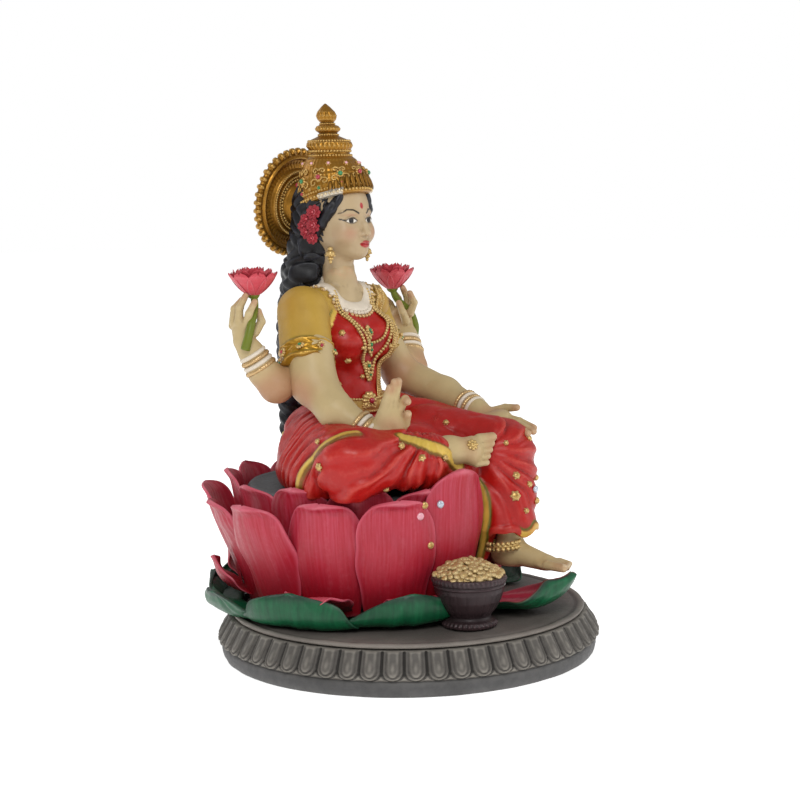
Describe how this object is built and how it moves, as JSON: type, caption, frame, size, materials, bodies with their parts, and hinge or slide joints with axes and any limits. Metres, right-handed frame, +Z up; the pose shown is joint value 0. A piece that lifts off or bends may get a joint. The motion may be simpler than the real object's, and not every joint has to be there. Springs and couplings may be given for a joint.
{
  "type": "goddess statuette",
  "caption": "Painted resin statuette of a crowned four-armed goddess seated on a lotus over a round base, beside a small pot of coins.",
  "frame": {"origin": "centre of the round base, on its underside", "axes": "+Z up through the figure; the figure faces -Y; its own left hand is on the +X side"},
  "size_m": [0.124, 0.1341, 0.177],
  "materials": {
    "stone": "dry-brushed grey paint on cast resin",
    "plate": "dry-brushed grey-brown paint on cast resin",
    "petal": "satin crimson to dusty pink brushed paint",
    "pod": "matt charcoal paint",
    "leaf": "satin emerald paint with near-black shading",
    "bronze": "satin dark purple-brown paint",
    "gold": "metallic gold paint",
    "old_gold": "antiqued metallic gold paint",
    "skin": "matt cream-beige paint with pink blush",
    "hair": "satin black-navy paint",
    "sari": "satin bright red paint",
    "blouse": "satin mustard yellow paint",
    "flower": "matt pink-red paint",
    "cream": "cream and gold paint"
  },
  "bodies": {
    "root": {"plinth": "stone", "petal_band": "stone", "top_plate": "plate", "seat_pod": "pod", "pot": "bronze", "coin_heap": "gold", "torso": "sari", "skirt": "sari", "shin_drape": "sari", "left_foot": "skin", "right_foot": "skin", "front_right_arm": "skin", "front_left_arm": "skin", "rear_right_arm": "skin", "rear_left_arm": "skin", "head": "skin", "hair": "hair", "crown": "old_gold", "halo": "old_gold", "braid": "hair", "sleeve_right": "blouse", "sleeve_left": "blouse", "sash": "gold", "collar_necklace": "cream", "bead_chain": "gold", "belt": "gold", "earring_right": "gold", "earring_left": "gold", "ear_flower_right": "flower", "ear_flower_left": "flower", "bangles_front_right": "cream", "bangles_front_left": "cream", "bangles_rear_right": "cream", "bangles_rear_left": "cream", "anklet": "gold", "hand_lotus_right": "flower", "hand_lotus_left": "flower", "front_leaf": "leaf", "leaf_1": "leaf", "leaf_2": "leaf", "leaf_3": "leaf", "leaf_4": "leaf", "leaf_5": "leaf", "leaf_6": "leaf", "leaf_7": "leaf", "leaf_8": "leaf", "outer_petal_1": "petal", "outer_petal_2": "petal", "outer_petal_3": "petal", "outer_petal_4": "petal", "outer_petal_5": "petal", "outer_petal_6": "petal", "outer_petal_7": "petal", "outer_petal_8": "petal", "outer_petal_9": "petal", "outer_petal_10": "petal", "outer_petal_11": "petal", "outer_petal_12": "petal", "inner_petals": "petal", "lower_petals": "petal"}
  },
  "joints": []
}
